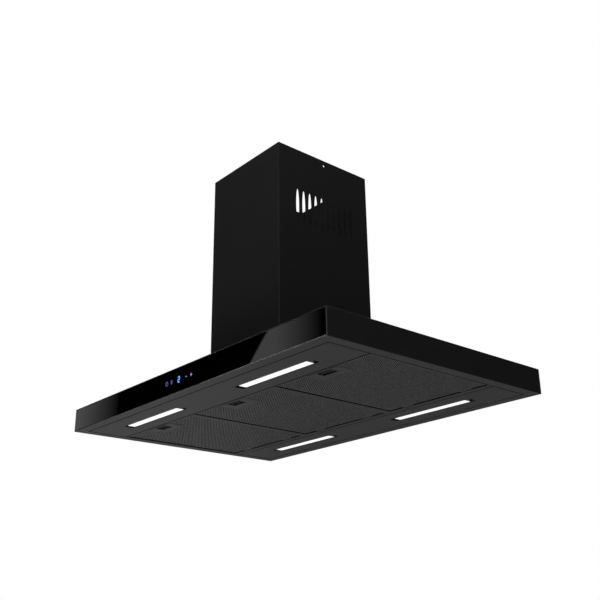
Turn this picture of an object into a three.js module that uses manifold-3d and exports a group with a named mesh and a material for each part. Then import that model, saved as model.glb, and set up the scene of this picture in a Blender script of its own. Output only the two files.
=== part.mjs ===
// Island range hood: a flat canopy with three hinged grease filters, a centrifugal blower above it,
// and a telescopic chimney on a frame of angle posts that hangs from a ceiling plate.
// Millimetres. X runs to the right, Y to the back, Z up. The origin is the centre of the underside.

import * as THREE from 'three';
import { mergeVertices } from 'three/addons/utils/BufferGeometryUtils.js';
import Module from 'manifold-3d';

const wasm = await Module();
wasm.setup();

// ---------------------------------------------------------------- driving dimensions

const hoodWidth = 900;
const hoodDepth = 600;
const canopyHeight = 54;
const chimneyWidth = 250;
const chimneyDepth = 275;
const chimneyTop = 590;
const upperSectionTop = 430;

const sheet = 1.2; // thickness of every steel sheet
const gap = 0.3; // clearance between pieces that touch
const border = 24; // flange round the underside
const groove = 3; // shadow line between the border and the panels
const lightPanelDepth = 98;
const panelSeam = 3;
const frontLip = 3;
const rearLip = 14;
const sideLip = sheet;
const dividerWidth = 17;
const filterCount = 3;

const halfWidth = hoodWidth / 2;
const halfDepth = hoodDepth / 2;
const panelHalfWidth = halfWidth - border - groove;
const panelHalfDepth = halfDepth - border - groove;
const panelBottom = 0.2;
const panelTop = panelBottom + sheet;
const lipHeight = 8; // upturned edge of the border, which the panels hang on

// ---------------------------------------------------------------- finishes

function finish(color, roughness, metalness) {
  return new THREE.MeshStandardMaterial({ color, roughness, metalness });
}

const blackPaint = finish(0x1c1c1d, 0.5, 0.0);
const canopyPaint = finish(0x2c2d2f, 0.45, 0.2);
const blackGlass = finish(0x050506, 0.06, 0.0);
const aluminium = finish(0x4a4b4d, 0.4, 0.8);
const galvanised = finish(0x9a9da0, 0.45, 0.85);
const steel = finish(0xb4b6b8, 0.3, 1.0);
const blackPlastic = finish(0x151516, 0.6, 0.0);
const greyPlastic = finish(0x5b5d60, 0.6, 0.0);
const whiteDiffuser = finish(0xf6f7f8, 0.5, 0.0);
const circuitBoard = finish(0x1f4a2c, 0.55, 0.0);

// ---------------------------------------------------------------- shaping tools

// A block between two opposite corners.
function block([x0, y0, z0], [x1, y1, z1]) {
  const geometry = new THREE.BoxGeometry(x1 - x0, y1 - y0, z1 - z0);
  return geometry.translate((x0 + x1) / 2, (y0 + y1) / 2, (z0 + z1) / 2);
}

// A block centred on X = centreX, given by half its width and its Y and Z ranges.
function band(centreX, halfX, [y0, y1], [z0, z1]) {
  return block([centreX - halfX, y0, z0], [centreX + halfX, y1, z1]);
}

// A round bar along 'x', 'y' or 'z' between two positions on that axis.
function bar(axis, radius, from, to, [a, b] = [0, 0], segments = 32) {
  const geometry = new THREE.CylinderGeometry(radius, radius, to - from, segments);
  const middle = (from + to) / 2;
  if (axis === 'x') {
    return geometry.rotateZ(-Math.PI / 2).translate(middle, a, b);
  }
  if (axis === 'y') {
    return geometry.translate(a, middle, b);
  }
  return geometry.rotateX(Math.PI / 2).translate(a, b, middle);
}

// A rectangle with round corners, centred on the origin.
function roundedRectangle(width, height, radius) {
  const outline = new THREE.Shape();
  const x = width / 2 - radius;
  const y = height / 2 - radius;
  outline.absarc(x, y, radius, 0, Math.PI / 2);
  outline.absarc(-x, y, radius, Math.PI / 2, Math.PI);
  outline.absarc(-x, -y, radius, Math.PI, 1.5 * Math.PI);
  outline.absarc(x, -y, radius, 1.5 * Math.PI, 2 * Math.PI);
  return outline;
}

// A flat outline given thickness upwards from z0 to z1.
function upright(outline, z0, z1, curveSegments = 2) {
  const geometry = new THREE.ExtrudeGeometry(outline, { depth: z1 - z0, bevelEnabled: false, curveSegments });
  return geometry.translate(0, 0, z0);
}

// A flat outline in the Y-Z plane given thickness along X.
function sideways(outline, x0, x1, curveSegments = 2) {
  return upright(outline, x0, x1, curveSegments).rotateX(Math.PI / 2).rotateZ(Math.PI / 2);
}

// The solid inside a closed surface.
function solid(shape) {
  if (!(shape instanceof THREE.BufferGeometry)) {
    return shape;
  }
  const bare = shape.clone();
  bare.deleteAttribute('normal');
  bare.deleteAttribute('uv');
  const merged = mergeVertices(bare, 1e-4);
  const vertProperties = new Float32Array(merged.attributes.position.array);
  const triVerts = new Uint32Array(merged.index.array);
  return new wasm.Manifold(new wasm.Mesh({ numProp: 3, vertProperties, triVerts }));
}

function join(first, ...others) {
  return others.reduce((whole, other) => whole.add(solid(other)), solid(first));
}

function cut(first, ...tools) {
  return tools.reduce((rest, tool) => rest.subtract(solid(tool)), solid(first));
}

// The surface of a solid, as a geometry that a mesh can show.
function surface(shape) {
  if (shape instanceof THREE.BufferGeometry) {
    return shape;
  }
  const { vertProperties, triVerts, numProp } = shape.getMesh();
  const positions = [];
  for (let i = 0; i < vertProperties.length; i += numProp) {
    positions.push(vertProperties[i], vertProperties[i + 1], vertProperties[i + 2]);
  }
  const geometry = new THREE.BufferGeometry();
  geometry.setAttribute('position', new THREE.Float32BufferAttribute(positions, 3));
  geometry.setIndex(Array.from(triVerts));
  geometry.computeVertexNormals();
  return geometry;
}

function piece(group, name, shape, material) {
  const mesh = new THREE.Mesh(surface(shape), material);
  mesh.name = name;
  group.add(mesh);
  return mesh;
}

const rangeHood = new THREE.Group();
const ceilingSection = new THREE.Group();
const hood = new THREE.Group();
rangeHood.add(ceilingSection, hood);

// ---------------------------------------------------------------- canopy shell

// Folded sheet steel: top, walls, a flange round the underside with an upturned edge, and a shallow
// rebate across the front that the glass sits in.
const glassThickness = 4.4;
const rebateDepth = 5.4;
const motorBoxHalfWidth = 112;
const motorBoxHalfDepth = 124;
const touchWindow = { halfWidth: 64, bottom: 12, top: 42 };

function canopyShell() {
  const outside = block([-halfWidth, -halfDepth, 0], [halfWidth, halfDepth, canopyHeight]);
  const frontWallBack = -halfDepth + rebateDepth + sheet;
  const hollow = block(
    [-halfWidth + sheet, frontWallBack, sheet],
    [halfWidth - sheet, halfDepth - sheet, canopyHeight - sheet],
  );
  const rebate = block(
    [-halfWidth + sheet, -halfDepth - 1, sheet],
    [halfWidth - sheet, -halfDepth + rebateDepth, canopyHeight - sheet],
  );
  const mouthX = halfWidth - border;
  const mouthY = halfDepth - border;
  const mouth = block([-mouthX, -mouthY, -1], [mouthX, mouthY, lipHeight + 1]);
  const upturn = block([-mouthX - sheet, -mouthY - sheet, 0], [mouthX + sheet, mouthY + sheet, lipHeight]);
  const airWayX = motorBoxHalfWidth - 8;
  const airWayY = motorBoxHalfDepth - 8;
  const airWay = block([-airWayX, -airWayY, canopyHeight - 10], [airWayX, airWayY, canopyHeight + 1]);
  const window = block(
    [-touchWindow.halfWidth, -halfDepth - 1, touchWindow.bottom],
    [touchWindow.halfWidth, frontWallBack + 1, touchWindow.top],
  );
  return cut(join(cut(outside, hollow, rebate), upturn), mouth, airWay, window);
}

piece(hood, 'canopy_shell', canopyShell(), canopyPaint);

// ---------------------------------------------------------------- front glass and touch controls

const glassClearance = 0.4;
const glassEdge = 0.6; // ground edge of the glass

function frontGlass() {
  const width = hoodWidth - 2 * (sheet + glassClearance + glassEdge);
  const height = canopyHeight - 2 * (sheet + glassClearance + glassEdge);
  const pane = new THREE.ExtrudeGeometry(roundedRectangle(width, height, 0.5), {
    depth: glassThickness - 2 * glassEdge,
    bevelSize: glassEdge,
    bevelThickness: glassEdge,
    bevelSegments: 1,
    curveSegments: 2,
  });
  pane.rotateX(Math.PI / 2);
  return pane.translate(0, -halfDepth + glassThickness - glassEdge + 0.1, canopyHeight / 2);
}

piece(hood, 'front_glass', frontGlass(), blackGlass);

const boardFront = -halfDepth + glassThickness + 0.6;
const boardThickness = 1.6;
const boardBack = boardFront + boardThickness;
const keyPositions = [-45, -27, 27, 45];

// The board carries one round sensor pad behind each touch key and a display behind the middle.
function touchBoard() {
  const { bottom, top } = touchWindow;
  const middle = (bottom + top) / 2;
  const board = band(0, touchWindow.halfWidth - 2, [boardFront + 0.4, boardBack], [bottom + 2, top - 2]);
  const display = band(0, 8, [boardFront, boardFront + 1], [middle - 9, middle + 9]);
  const pads = keyPositions.map((x) => bar('y', 7, boardFront, boardFront + 1, [x, middle], 20));
  return join(board, display, ...pads);
}

piece(hood, 'touch_board', touchBoard(), circuitBoard);

// A shallow tray behind the window, open to the front, with two ribs that back the board.
function controlBox() {
  const wall = 1.5;
  const front = -halfDepth + rebateDepth + sheet + gap;
  const back = front + 17;
  const bottom = 9.5;
  const top = canopyHeight - 9.5;
  const outside = band(0, touchWindow.halfWidth + 8, [front, back], [bottom, top]);
  const inside = band(0, touchWindow.halfWidth + 6.5, [front - 1, back - wall], [bottom + wall, top - wall]);
  const ribs = [-52, 52].map((x) => band(x, 1, [boardBack + gap, back - 1], [bottom + 1, top - 1]));
  return join(cut(outside, inside), ...ribs);
}

piece(hood, 'control_box', controlBox(), blackPlastic);

// ---------------------------------------------------------------- light panels and lamps

const lampX = 215;
const lampY = 222;
const slotLength = 232;
const slotWidth = 24;
const lensLength = 208;
const lensWidth = 21;
const lensCorner = 5;

// The hooked flange with which a panel hangs on the upturned edge of the border.
const hookBottom = lipHeight + gap;
const hookTop = hookBottom + sheet;
const hookReach = 6;

// A pan with its walls turned up: y0 to y1, with hooks at the two ends and along hookSide (-1, 0 or 1).
function hangingPan(y0, y1, hookSide) {
  const pan = band(0, panelHalfWidth, [y0, y1], [panelBottom, hookTop]);
  const inside = band(0, panelHalfWidth - sheet, [y0 + sheet, y1 - sheet], [panelTop, hookTop + 1]);
  const endHooks = band(0, panelHalfWidth + hookReach, [y0, y1], [hookBottom, hookTop]);
  const parts = [pan, endHooks];
  if (hookSide < 0) {
    parts.push(band(0, panelHalfWidth, [y0 - hookReach, y0 + sheet], [hookBottom, hookTop]));
  }
  if (hookSide > 0) {
    parts.push(band(0, panelHalfWidth, [y1 - sheet, y1 + hookReach], [hookBottom, hookTop]));
  }
  return cut(join(...parts), inside);
}

function lampSlot(x, y) {
  const slot = upright(roundedRectangle(slotLength, slotWidth, lensCorner), -1, panelTop + 1);
  return slot.translate(x, y, 0);
}

const panelInnerEdge = panelHalfDepth - lightPanelDepth;

for (const [name, side] of [['front', -1], ['rear', 1]]) {
  const [y0, y1] = side < 0 ? [-panelHalfDepth, -panelInnerEdge] : [panelInnerEdge, panelHalfDepth];
  const pan = cut(hangingPan(y0, y1, side), lampSlot(-lampX, side * lampY), lampSlot(lampX, side * lampY));
  piece(hood, `${name}_light_panel`, pan, canopyPaint);
}

const lampHousingTop = 14;

// The diffuser is a shallow cup with its mouth up; its floor is flush with the panel.
function lampLens() {
  const wall = 1.5;
  const skirtTop = 10;
  const outside = upright(roundedRectangle(lensLength, lensWidth, lensCorner), 0.4, skirtTop);
  const inside = upright(roundedRectangle(lensLength - 2 * wall, lensWidth - 2 * wall, lensCorner - wall), 2.4, 11);
  return cut(outside, inside);
}

// The housing stands on the panel round the slot, so the slot's ends show as dark recesses.
function lampHousing() {
  const outside = upright(roundedRectangle(slotLength + 12, slotWidth + 12, 9), panelTop + gap, lampHousingTop);
  const inside = upright(roundedRectangle(slotLength, slotWidth, lensCorner), panelTop, lampHousingTop - 2);
  return cut(outside, inside);
}

// A strip of chips on an aluminium-backed board under the roof of the housing.
function ledStrip() {
  const chipCount = 14;
  const chipPitch = 14;
  const board = upright(roundedRectangle(lensLength + 6, 18, 2), 10.4, 11.7);
  const chips = [];
  for (let i = 0; i < chipCount; i += 1) {
    const x = (i - (chipCount - 1) / 2) * chipPitch;
    chips.push(block([x - 2.5, -2.5, 9.4], [x + 2.5, 2.5, 10.6]));
  }
  return join(board, ...chips);
}

for (const [yName, ySide] of [['front', -1], ['rear', 1]]) {
  for (const [xName, xSide] of [['left', -1], ['right', 1]]) {
    const lamp = new THREE.Group();
    lamp.position.set(xSide * lampX, ySide * lampY, 0);
    hood.add(lamp);
    const place = `${yName}_${xName}`;
    piece(lamp, `lamp_lens_${place}`, lampLens(), whiteDiffuser);
    piece(lamp, `lamp_housing_${place}`, lampHousing(), blackPlastic);
    piece(lamp, `led_strip_${place}`, ledStrip(), circuitBoard);
  }
}

// ---------------------------------------------------------------- filter frame

const frameFront = -panelInnerEdge + panelSeam;
const frameRear = panelInnerEdge - panelSeam;
const openingFront = frameFront + frontLip;
const openingRear = frameRear - rearLip;
const openingWidth = (2 * (panelHalfWidth - sideLip) - (filterCount - 1) * dividerWidth) / filterCount;
const filterPitch = openingWidth + dividerWidth;
const filterNames = ['left', 'middle', 'right'];
const filterCentres = filterNames.map((name, i) => (i - 1) * filterPitch);

function filterFrame() {
  const openings = filterCentres.map((x) => band(x, openingWidth / 2, [openingFront, openingRear], [-1, 20]));
  const dividerRibs = [-0.5, 0.5].map((side) =>
    band(side * filterPitch, sheet / 2, [frameFront + 0.5, frameRear - 0.5], [panelTop - 0.5, hookTop]),
  );
  return join(cut(hangingPan(frameFront, frameRear, 0), ...openings), ...dividerRibs);
}

piece(hood, 'filter_frame', filterFrame(), canopyPaint);

// ---------------------------------------------------------------- grease filters

const trayWall = 1;
const trayBottom = 1.8;
const trayTop = 11;
const trayHalfWidth = openingWidth / 2 - 1.6;
const trayFront = openingFront + 1.8;
const trayRear = openingRear - 2.2;
const tabLength = 10;
const tabHalfWidth = 15;
const tabX = 80;

// The latch sits behind the front edge: an opening for a finger, a sprung slider and its cup.
const fingerHalfWidth = 20;
const fingerFront = openingFront + 7;
const fingerRear = fingerFront + 20;
const boltHalfWidth = 9;
const boltBottom = 5.6;
const boltTop = 7.6;
const cupHalfWidth = 23.5;
const cupFront = trayFront + trayWall + gap;
const cupRear = fingerRear + 17;
const cupTop = 10.5;
const patchHalfWidth = 44; // plain plate round the finger opening
const patchRear = fingerRear + 19;
const patchDrop = 0.8;
const boltSlot = [boltBottom - 0.4, boltTop + 0.4];

// An open tray of perforated sheet with a plain plate under the latch, and two rear tabs that hook over the frame's rear lip.
function filterTray() {
  const outside = band(0, trayHalfWidth, [trayFront, trayRear], [trayBottom, trayTop]);
  const inside = band(
    0,
    trayHalfWidth - trayWall,
    [trayFront + trayWall, trayRear - trayWall],
    [trayBottom + trayWall, trayTop + 1],
  );
  const tabs = [-tabX, tabX].map((x) =>
    band(x, tabHalfWidth, [trayRear - 0.5, trayRear + tabLength], [trayBottom, trayBottom + sheet]),
  );
  const patch = band(0, patchHalfWidth, [trayFront + 2, patchRear], [trayBottom - patchDrop, trayBottom + 0.5]);
  const fingerHole = band(0, fingerHalfWidth, [fingerFront, fingerRear], [0, trayBottom + trayWall + 1]);
  const boltHole = band(0, boltHalfWidth + 0.6, [trayFront - 1, trayFront + trayWall + 1], boltSlot);
  return join(cut(join(cut(outside, inside), patch), fingerHole, boltHole), ...tabs);
}

const meshThickness = 2.5;

// Layers of aluminium mesh pressed into one pad, cut away round the latch cup.
function meshPad() {
  const clearance = 0.4;
  const floor = trayBottom + trayWall + gap;
  const halfX = trayHalfWidth - trayWall - clearance;
  const pad = band(
    0,
    halfX,
    [trayFront + trayWall + clearance, trayRear - trayWall - clearance],
    [floor, floor + meshThickness],
  );
  return cut(pad, band(0, cupHalfWidth + 2, [trayFront, cupRear + 2], [0, trayTop]));
}

// The cup closes the finger opening from above and holds the spring in its rear half.
function latchCup() {
  const floor = trayBottom + trayWall + gap;
  const wall = 1;
  const outside = band(0, cupHalfWidth, [cupFront, cupRear], [floor, cupTop]);
  const fingerSpace = band(0, fingerHalfWidth, [fingerFront, fingerRear], [0, cupTop - wall]);
  const boltWay = band(0, boltHalfWidth + 0.6, [cupFront - 1, cupRear - wall], boltSlot);
  const springWay = bar('y', 3.2, fingerRear - 1, cupRear - wall, [0, (boltBottom + boltTop) / 2], 16);
  return cut(outside, fingerSpace, boltWay, springWay);
}

const gripFront = fingerFront + 9;
const gripRear = gripFront + 3.6;
const sliderRear = fingerRear + 1.2;

// One moulding: a bolt that points at the front lip, a bar to pull it by, and a tail for the spring.
function latchSlider() {
  const bolt = band(0, boltHalfWidth, [openingFront + 0.6, sliderRear], [boltBottom, boltTop]);
  const grip = band(0, fingerHalfWidth - 1, [gripFront, gripRear], [trayBottom + 0.6, boltTop]);
  return join(bolt, grip);
}

class Helix extends THREE.Curve {
  constructor(radius, length, turns) {
    super();
    Object.assign(this, { radius, length, turns });
  }

  getPoint(t, target = new THREE.Vector3()) {
    const angle = 2 * Math.PI * this.turns * t;
    return target.set(this.radius * Math.cos(angle), this.length * t, this.radius * Math.sin(angle));
  }
}

function latchSpring() {
  const wire = 0.35;
  const turns = 6;
  const front = sliderRear + gap + wire;
  const length = cupRear - 1 - gap - wire - front;
  const section = new THREE.Shape().absarc(0, 0, wire, 0, 2 * Math.PI);
  const path = new Helix(2.5, length, turns);
  const spring = new THREE.ExtrudeGeometry(section, { steps: turns * 8, extrudePath: path, curveSegments: 2 });
  return spring.translate(0, front, (boltBottom + boltTop) / 2);
}

filterNames.forEach((name, i) => {
  const filter = new THREE.Group();
  filter.position.x = filterCentres[i];
  hood.add(filter);
  piece(filter, `filter_tray_${name}`, filterTray(), aluminium);
  piece(filter, `filter_mesh_${name}`, meshPad(), aluminium);
  piece(filter, `latch_cup_${name}`, latchCup(), blackPlastic);
  piece(filter, `latch_slider_${name}`, latchSlider(), greyPlastic);
  piece(filter, `latch_spring_${name}`, latchSpring(), steel);
});

// ---------------------------------------------------------------- motor box

const motorBoxBottom = canopyHeight + gap;
const motorBoxTop = 320;
const outletRadius = 75;
const outletWall = 2.5;

// A sheet-steel box, open below, with a foot flange on the canopy and the outlet hole in its roof.
function motorBox() {
  const x = motorBoxHalfWidth;
  const y = motorBoxHalfDepth;
  const outside = block([-x, -y, motorBoxBottom], [x, y, motorBoxTop]);
  const foot = block([-x - 4, -y - 5, motorBoxBottom], [x + 4, y + 5, motorBoxBottom + sheet]);
  const inside = block([-x + sheet, -y + sheet, motorBoxBottom - 1], [x - sheet, y - sheet, motorBoxTop - sheet]);
  const outlet = bar('z', outletRadius - outletWall, motorBoxTop - 10, motorBoxTop + 1);
  return cut(join(outside, foot), inside, outlet);
}

piece(hood, 'motor_box', motorBox(), galvanised);

// ---------------------------------------------------------------- blower

const rotorY = 6;
const rotorZ = 165;
const rotorRadius = 72;
const rotorHalfLength = 54;
const housingHalfLength = 60;
const housingWall = 2;
const inletRadius = 60;
const scrollStart = 80; // radius at the tongue
const scrollEnd = 108; // radius where the scroll meets the outlet
const tongueAngle = (50 * Math.PI) / 180;
const throatTop = motorBoxTop - sheet - gap;
const throatHalfDepth = 70;

// The scroll widens steadily from the tongue round the rotor, then runs up into the throat.
function scrollOutline(inset) {
  const outline = new THREE.Shape();
  const steps = 24;
  for (let i = 0; i <= steps; i += 1) {
    const share = i / steps;
    const angle = tongueAngle + share * (2 * Math.PI - tongueAngle);
    const radius = scrollStart + share * (scrollEnd - scrollStart) - inset;
    const y = rotorY + radius * Math.cos(angle);
    const z = rotorZ + radius * Math.sin(angle);
    if (i === 0) {
      outline.moveTo(y, z);
    } else {
      outline.lineTo(y, z);
    }
  }
  const outerWall = rotorY + scrollEnd - inset;
  outline.lineTo(outerWall, throatTop - 60);
  outline.lineTo(throatHalfDepth - inset, throatTop + inset);
  outline.lineTo(-throatHalfDepth + inset, throatTop + inset);
  return outline;
}

// Each half is one side plate with its inlet and half the width of the scroll wall.
function housingHalf(side) {
  const ends = (inner, outer) => (side < 0 ? [-outer, -inner] : [inner, outer]);
  const outside = sideways(scrollOutline(0), ...ends(gap / 2, housingHalfLength));
  const inside = sideways(scrollOutline(housingWall), ...ends(-1, housingHalfLength - housingWall));
  const inlet = bar('x', inletRadius, ...ends(housingHalfLength - 10, housingHalfLength + 10), [rotorY, rotorZ], 40);
  return cut(outside, inside, inlet);
}

piece(hood, 'blower_housing_left', housingHalf(-1), greyPlastic);
piece(hood, 'blower_housing_right', housingHalf(1), greyPlastic);

const shaftRadius = 4;
const shaftSegments = 32;

// A drum with a disc in the middle, a ring at each end and forward-curved blades between them.
function impeller() {
  const bladeCount = 24;
  const bladeInner = 59;
  const discHalf = 1.2;
  const ringWidth = 4;
  const disc = bar('x', rotorRadius - 1, -discHalf, discHalf, [0, 0], 36);
  const hub = bar('x', 12, -3.5, 8, [0, 0], 24);
  const rings = [-1, 1].map((side) => {
    const outer = side * rotorHalfLength;
    const inner = side * (rotorHalfLength - ringWidth);
    const [from, to] = [Math.min(outer, inner), Math.max(outer, inner)];
    return cut(bar('x', rotorRadius, from, to, [0, 0], 36), bar('x', bladeInner - 1, from - 1, to + 1, [0, 0], 36));
  });
  const blades = [];
  for (let i = 0; i < bladeCount; i += 1) {
    const outline = new THREE.Shape();
    outline.absarc(bladeInner - 5, 5, 11, -0.6, 0.75, false);
    outline.absarc(bladeInner - 5, 5, 12, 0.75, -0.6, true);
    const blade = sideways(outline, -rotorHalfLength + 1, rotorHalfLength - 1, 1);
    blades.push(blade.rotateX((2 * Math.PI * i) / bladeCount));
  }
  const bore = bar('x', shaftRadius + gap, -20, 20, [0, 0], shaftSegments);
  return cut(join(disc, hub, ...rings, ...blades), bore).translate(0, rotorY, rotorZ);
}

piece(hood, 'impeller', impeller(), greyPlastic);

const motorRadius = 42;
const motorOuterEnd = -housingHalfLength - gap;
const motorInnerEnd = -6;

piece(
  hood,
  'motor_shaft',
  bar('x', shaftRadius, motorOuterEnd + 8, 12, [rotorY, rotorZ], shaftSegments),
  steel,
);

// The motor sits in the left inlet, inside the drum, and is bored for the shaft.
function motor() {
  const body = bar('x', motorRadius, motorOuterEnd, motorInnerEnd, [rotorY, rotorZ], 40);
  const nose = bar('x', 12, motorInnerEnd - 1, motorInnerEnd + 1.8, [rotorY, rotorZ], 24);
  const bore = bar('x', shaftRadius + 0.06, motorOuterEnd + 7, 0, [rotorY, rotorZ], shaftSegments);
  return cut(join(body, nose), bore);
}

piece(hood, 'motor', motor(), steel);

// A plate with three arms that carries the motor from the left side of the housing.
function motorBracket() {
  const outer = motorOuterEnd - gap - 2.4;
  const inner = motorOuterEnd - gap;
  const arms = [0, 1, 2].map((i) => {
    const arm = new THREE.BoxGeometry(inner - outer, 14, 74);
    return arm.translate((inner + outer) / 2, 0, 37).rotateX((2 * Math.PI * i) / 3);
  });
  const plate = bar('x', motorRadius - 4, outer, inner, [0, 0], 32);
  return join(plate, ...arms).translate(0, rotorY, rotorZ);
}

piece(hood, 'motor_bracket', motorBracket(), galvanised);

// ---------------------------------------------------------------- outlet collar and dampers

const collarBottom = motorBoxTop + gap;
const collarTop = 392;
const collarInner = outletRadius - outletWall;
const pinZ = collarBottom + 30;
const pinRadius = 2;
const knuckleRadius = 3.4;
const flapRadius = 71;
const flapThickness = 1.5;

// A round spigot on a square flange, with a ledge that the closed flaps rest on.
function outletCollar() {
  const flange = upright(roundedRectangle(172, 172, 8), collarBottom, collarBottom + 3);
  const tube = bar('z', outletRadius, collarBottom, collarTop, [0, 0], 48);
  const bore = bar('z', collarInner, collarBottom - 1, collarTop + 1, [0, 0], 48);
  const ledgeTop = pinZ - knuckleRadius - gap;
  const ledge = cut(
    bar('z', collarInner + 1, ledgeTop - 2, ledgeTop, [0, 0], 48),
    bar('z', collarInner - 3.5, ledgeTop - 3, ledgeTop + 1, [0, 0], 48),
  );
  const pinHoles = bar('x', pinRadius + gap, -outletRadius - 1, outletRadius + 1, [0, pinZ], 24);
  return cut(join(cut(join(flange, tube), bore), ledge), pinHoles);
}

piece(hood, 'outlet_collar', outletCollar(), blackPlastic);
piece(hood, 'damper_pin', bar('x', pinRadius, -outletRadius, outletRadius, [0, pinZ], 24), steel);

// A half disc with two knuckles on the pin; the other flap's knuckles fill the spaces between.
function damperFlap(side) {
  const outline = new THREE.Shape();
  const chord = 0.5;
  const start = Math.asin(chord / flapRadius);
  outline.absarc(0, 0, flapRadius, start, Math.PI - start);
  const bottom = pinZ - knuckleRadius;
  const leaf = upright(outline, bottom, bottom + flapThickness, 12);
  if (side < 0) {
    leaf.rotateZ(Math.PI);
  }
  const knuckles = [-1, 1].map((end) => {
    const from = end * side < 0 ? end * 60 : end * 20;
    const [x0, x1] = [Math.min(from, from - end * 18), Math.max(from, from - end * 18)];
    return join(
      bar('x', knuckleRadius, x0, x1, [0, pinZ], 24),
      block([x0, Math.min(0, side * 3.4), bottom], [x1, Math.max(0, side * 3.4), bottom + flapThickness]),
    );
  });
  const otherKnuckles = [-1, 1].map((end) => {
    const from = end * side > 0 ? end * 60 : end * 20;
    const x0 = Math.min(from, from - end * 18) - gap;
    const x1 = Math.max(from, from - end * 18) + gap;
    return bar('x', knuckleRadius + 0.4, x0, x1, [0, pinZ], 24);
  });
  const bore = bar('x', pinRadius + 0.08, -flapRadius - 1, flapRadius + 1, [0, pinZ], 24);
  return cut(join(cut(leaf, ...otherKnuckles), ...knuckles), bore);
}

piece(hood, 'damper_flap_front', damperFlap(-1), blackPlastic);
piece(hood, 'damper_flap_rear', damperFlap(1), blackPlastic);

// ---------------------------------------------------------------- electrics on the motor box

const roof = motorBoxTop + gap;

function electronicsBox() {
  const wall = 1.8;
  const outside = block([-104, 90, roof], [10, 121, roof + 34]);
  const inside = block([-104 + wall, 90 + wall, roof + wall], [10 - wall, 121 - wall, roof + 34 - wall]);
  const cordHole = bar('x', 6.3, 0, 20, [105, roof + 18], 24);
  return cut(outside, inside, cordHole);
}

piece(hood, 'electronics_box', electronicsBox(), greyPlastic);

// The mains inlet: a ring nut outside the box, a threaded neck through its wall and a cord way.
function cableGland() {
  const centre = [105, roof + 18];
  const nut = new THREE.CylinderGeometry(9.5, 9.5, 7, 6).rotateZ(-Math.PI / 2).translate(14, ...centre);
  const neck = bar('x', 6, 4, 11, centre, 24);
  const dome = bar('x', 7.5, 17, 24, centre, 24);
  const cordWay = bar('x', 4, 0, 30, centre, 20);
  return cut(join(nut, neck, dome), cordWay);
}

piece(hood, 'cable_gland', cableGland(), blackPlastic);
piece(hood, 'led_driver', block([-4, -121, roof], [96, -93, roof + 24]), greyPlastic);

function capacitor() {
  const profile = [
    [0, 0],
    [14, 0],
    [14, 50],
    [12, 52],
    [0, 52],
  ].map(([r, x]) => new THREE.Vector2(r, x));
  const can = new THREE.LatheGeometry(profile, 28);
  return can.rotateZ(-Math.PI / 2).translate(-90, -106, roof + 14.2);
}

piece(hood, 'run_capacitor', capacitor(), aluminium);

// ---------------------------------------------------------------- chimney

const outerX = chimneyWidth / 2;
const outerY = chimneyDepth / 2;
const chimneyBottom = canopyHeight + gap;
const innerClearance = 0.8;
const innerX = outerX - sheet - innerClearance;
const innerY = outerY - sheet - innerClearance;
const innerBottom = 66;

// A square sleeve of sheet, open at both ends.
function sleeve(x, y, bottom, top) {
  const outside = block([-x, -y, bottom], [x, y, top]);
  return cut(outside, block([-x + sheet, -y + sheet, bottom - 1], [x - sheet, y - sheet, top + 1]));
}

const ventCount = 10;
const ventPitch = 18.25;
const ventWidth = 9.5;
const ventHeight = 80;
const ventCentreZ = chimneyTop - 142;

// The lower cover: a row of long elliptic vents through each side and one screw hole above it.
function outerChimney() {
  const slots = [];
  for (let i = 0; i < ventCount; i += 1) {
    const outline = new THREE.Shape().absellipse(0, 0, ventWidth / 2, ventHeight / 2, 0, 2 * Math.PI);
    const slot = sideways(outline, -outerX - 1, outerX + 1, 12);
    slots.push(slot.translate(0, (i - (ventCount - 1) / 2) * ventPitch, ventCentreZ));
  }
  const screwHole = bar('x', 2.5, -outerX - 1, outerX + 1, [0, chimneyTop - 14], 16);
  return cut(sleeve(outerX, outerY, chimneyBottom, chimneyTop), ...slots, screwHole);
}

piece(hood, 'outer_chimney', outerChimney(), blackPaint);

// The upper cover slides inside the lower one and is screwed to the ceiling plate.
function innerChimney() {
  const screwHole = bar('x', 2.5, -innerX - 1, innerX + 1, [0, upperSectionTop - 12], 16);
  return cut(sleeve(innerX, innerY, innerBottom, upperSectionTop), screwHole);
}

piece(ceilingSection, 'inner_chimney', innerChimney(), blackPaint);

// ---------------------------------------------------------------- hanging frame

const plateThickness = 3;
const plateX = innerX - sheet - 0.5;
const plateY = innerY - sheet - 0.5;
const plateBottom = upperSectionTop - plateThickness;
const ductRadius = 90;

// The plate is screwed to the ceiling through four slots, and the duct passes through its middle.
function ceilingPlate() {
  const plate = block([-plateX, -plateY, plateBottom], [plateX, plateY, upperSectionTop]);
  const duct = bar('z', ductRadius, plateBottom - 1, upperSectionTop + 1, [0, 0], 48);
  const slots = [];
  for (const x of [-85, 85]) {
    for (const y of [-108, 108]) {
      slots.push(upright(roundedRectangle(24, 8, 3.99), plateBottom - 1, upperSectionTop + 1).translate(x, y, 0));
    }
  }
  return cut(plate, duct, ...slots);
}

piece(ceilingSection, 'ceiling_plate', ceilingPlate(), galvanised);

const postThickness = 1.5;

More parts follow.
